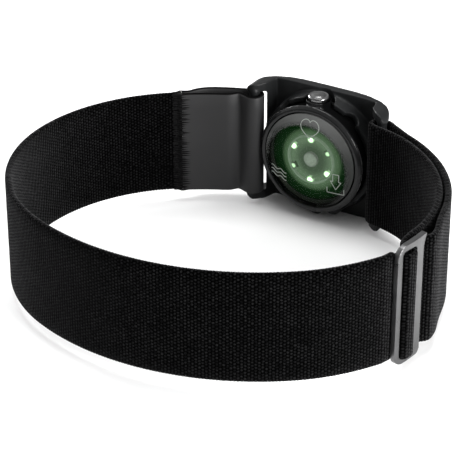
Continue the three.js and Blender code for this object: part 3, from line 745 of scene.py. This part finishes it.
# ---------- holder, slider and pod ----------
material_holder = moulded(
    "holder_plastic", (0.0075, 0.008, 0.0083), (0.0115, 0.012, 0.0124), 0.42, gloss=0.12)
# The housing's side wall deeper than 2.9 mm, in the joint round the pod, is given painted shade.
material_housing = moulded(
    "housing_plastic", (0.005, 0.0052, 0.0054), (0.008, 0.0083, 0.0086), 0.27, gloss=0.3,
    painted_shade_from_mm=2.9)
material_cap = moulded("cap_plastic", (0.008, 0.0083, 0.0086), (0.012, 0.0125, 0.013), 0.35)
for node, voxel_mm, passes, material in (
        ("holder_frame", 0.22, 6, material_holder),
        ("slider_frame", 0.11, 3, blasted_metal("slider_metal", (0.16, 0.16, 0.162), 0.3)),
        ("housing_front", 0.14, 2, material_housing),
        ("button_cap", 0.09, 3, blasted_metal("button_metal", (0.22, 0.22, 0.22), 0.2))):
    round_edges(node, voxel_mm * MM, passes)
    dress(node, material)
dress("housing_back", material_cap, FACE_ANGLE)
dress("optical_window", window_glass(), FACE_ANGLE)
dress("optical_board", lit_board())

LED_COLOUR, LED_STRENGTH = (0.66, 1.0, 0.60), 2.6
LED_LEVELS = (1.0, 0.95, 0.4, 0.8, 1.0, 0.4)  # the third and the sixth are dimmer
LED_SPREAD = 1.05  # the bright spots sit a little outwards of the LEDs' middles
for number, level in enumerate(LED_LEVELS, 1):
    led_low, led_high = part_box(f"led_{number}")
    spot = (led_low + led_high) / 2 * LED_SPREAD
    reach_mm = 1.0 if level > 0.5 else 0.75
    lamp_glow = glowing(f"led_light_{number}", LED_COLOUR, spot, LED_STRENGTH * level, reach_mm)
    dress(f"led_{number}", lamp_glow)
# The photodiode and the light barrier are no lamps: their glows are painted light from the LEDs.
face_glow = glowing("photodiode_painted_glow", (0.20, 0.225, 0.195), (0, 0, 0), 1.0, 2.6)
dress("photodiode", face_glow, FACE_ANGLE)
barrier_glow = glowing("barrier_painted_glow", (0.62, 0.82, 0.60), (0, 0, 0), 0.21, 30.0)
dress("light_barrier", barrier_glow, FACE_ANGLE)

material_rubber = moulded("seal_rubber", (0.006, 0.006, 0.006), (0.012, 0.012, 0.012), 0.7)
for node in ("window_seal", "housing_seal", "battery_pad", "button_seal"):
    dress(node, material_rubber)
board_tones = (0.006, 0.045, 0.018), (0.010, 0.065, 0.026)
dress("main_board", moulded("board_green", *board_tones, 0.45, 2600.0, 0.35))
material_chip = moulded("chip_resin", (0.010, 0.010, 0.011), (0.018, 0.018, 0.019), 0.55)
for node in ("radio_chip", "motion_chip", "memory_chip", "side_switch"):
    dress(node, material_chip)
dress("battery", blasted_metal("cell_can", (0.50, 0.50, 0.51), 0.35))
dress("antenna", blasted_metal("antenna_copper", (0.60, 0.34, 0.20), 0.35))
material_gold = blasted_metal("contact_gold", (0.78, 0.56, 0.24), 0.25)
for number in range(1, 5):
    dress(f"charge_contact_{number}", material_gold, 40)


def window_surface(points):
    """The window's front face under each (x, z) point, read from the CAD part."""
    mesh = NODES["optical_window"].data
    tree = BVHTree.FromPolygons([v.co for v in mesh.vertices], [p.vertices for p in mesh.polygons])
    in_front, inwards = -5 * MM, Vector((0, 1, 0))
    return [tree.ray_cast(Vector((x, in_front, z)), inwards)[0].y for x, z in points]


def printed_lines(name, strokes, width, material):
    """Lines printed on the window: thin raised ribbons that follow its face."""
    foot_mm, top_mm = 0.005, 0.045  # off the window's face
    verts, faces = [], []
    for stroke in strokes:
        line = resample(np.array(stroke) * MM, INK_STEP)
        across = left_normals(line) * width / 2
        heights = window_surface(line)
        base = len(verts)
        for p, a, y in zip(line, across, heights):
            for q, lift in ((p + a, foot_mm), (p - a, foot_mm), (p - a, top_mm), (p + a, top_mm)):
                verts.append((q[0], y - lift * MM, q[1]))
        faces += ring_faces(base, len(line), 4)
        last = base + 4 * (len(line) - 1)
        faces += [(base, base + 3, base + 2, base + 1), (last, last + 1, last + 2, last + 3)]
    made = new_piece(name, verts, faces, material, FACE_ANGLE)
    face_outwards(made, FACE_ANGLE)
    return made


def placed(points, centre, size):
    """A drawing scaled to a size and moved to a centre, in millimetres on the window."""
    return [(centre[0] + size * x, centre[1] + size * z) for x, z in points]


turns = [2 * math.pi * i / 60 for i in range(61)]
heart = [(math.sin(t) ** 3, 0.98 * math.cos(t) - 0.22 * math.cos(2 * t) - 0.14 * math.cos(3 * t)
          - 0.06 * math.cos(4 * t)) for t in turns]
waves = [[(x / 10, 0.12 * math.sin(x * 0.6) - 0.46 * k + 0.42 - 0.025 * x) for x in range(-10, 11)]
         for k in range(3)]
tray = [(-1, -0.35), (-1, -1), (1, -1), (1, -0.35)]
arrow = [(-0.38, 1), (-0.38, 0.05), (-0.68, 0.05), (0, -1), (0.68, 0.05), (0.38, 0.05), (0.38, 1),
         (-0.38, 1)]
strokes = [placed(heart, (0.2, 8.9), 2.5), placed(tray, (7.6, -4.6), 2.2),
           placed(arrow, (7.7, -3.65), 2.05)]
strokes += [placed(wave, (-8.2, -5.0), 2.2) for wave in waves]
ink = moulded("pale_ink", (0.28, 0.31, 0.28), (0.34, 0.37, 0.34), 0.5)
marks = printed_lines("window_marks", strokes, INK_WIDTH, ink)
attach(marks, "pod")

# ---------- stage ----------
low, high = CAD_BOX
FLOOR_REACH = 3.0
floor_mesh = bpy.data.meshes.new("floor")
corners = ((-1, -1), (1, -1), (1, 1), (-1, 1))
floor_mesh.from_pydata([(x * FLOOR_REACH, y * FLOOR_REACH, low.z) for x, y in corners], [],
                       [(0, 1, 2, 3)])
floor = bpy.data.objects.new("floor", floor_mesh)
bpy.context.scene.collection.objects.link(floor)
paper = Shader("floor_paper")
paper_tone = paper.ramp(paper.noise(object_place(paper), 4.0, 2.0), (0.3, 0.90), (0.7, 0.93))
floor_mesh.materials.append(paper.finish(Base_Color=paper_tone, Roughness=0.9))

# The room is brighter to the sides and above than in front and behind, and white to the camera.
SIDE_LIGHT, TOP_LIGHT, BASE_LIGHT = 0.75, 0.4, 0.08
world = bpy.data.worlds.new("studio")
world.use_nodes = True
sky = NodeGraph(world.node_tree, "ShaderNodeOutputWorld")
direction = sky.node("SeparateXYZ", inputs={"Vector": sky.node("TexCoord", output="Generated")})
sideways = sky.math("POWER", sky.math("ABSOLUTE", direction), 1.5)
upwards = sky.math("MAXIMUM", direction.node.outputs["Z"], 0.0)
light = sky.math("ADD", sky.math("MULTIPLY", sideways, SIDE_LIGHT),
                 sky.math("MULTIPLY", upwards, TOP_LIGHT))
light = sky.math("ADD", light, BASE_LIGHT)
seen_by_camera = sky.node("LightPath", output="Is Camera Ray")
shade = sky.mix(seen_by_camera, light, (1.0, 1.0, 1.0))
sky.surface(sky.node("Background", inputs={"Color": shade, "Strength": 1.0}))
bpy.context.scene.world = world
bpy.context.scene.view_settings.view_transform = "Standard"


def softbox(name, place, target, size, power):
    """A square area lamp aimed at the target."""
    lamp = bpy.data.lights.new(name, "AREA")
    lamp.energy = power
    lamp.size = size
    made = bpy.data.objects.new(name, lamp)
    made.location = place
    made.rotation_euler = (Vector(target) - Vector(place)).to_track_quat("-Z", "Y").to_euler()
    bpy.context.scene.collection.objects.link(made)


centre = (low + high) / 2
softbox("key", (-0.1, 0.10, 0.85), centre, 0.5, 6.0)
softbox("left", (-0.75, 0.25, 0.2), centre, 0.4, 7.0)
softbox("right", (0.8, -0.22, 0.2), centre, 0.4, 14.0)

LENS_MM, SENSOR_MM = 157.3, 36
AIM = Vector((1.29, -38.18, -0.75)) * MM
AZIMUTH, ELEVATION, DISTANCE = math.radians(31.4), math.radians(28.42), 458.25 * MM
camera_data = bpy.data.cameras.new("camera")
camera_data.lens = LENS_MM
camera_data.sensor_width = SENSOR_MM
camera_data.clip_start = 0.01
camera = bpy.data.objects.new("camera", camera_data)
bpy.context.scene.collection.objects.link(camera)
back = Vector((math.sin(AZIMUTH) * math.cos(ELEVATION),
               -math.cos(AZIMUTH) * math.cos(ELEVATION), math.sin(ELEVATION)))
camera.location = AIM + back * DISTANCE
camera.rotation_euler = (-back).to_track_quat("-Z", "Y").to_euler()
bpy.context.scene.camera = camera
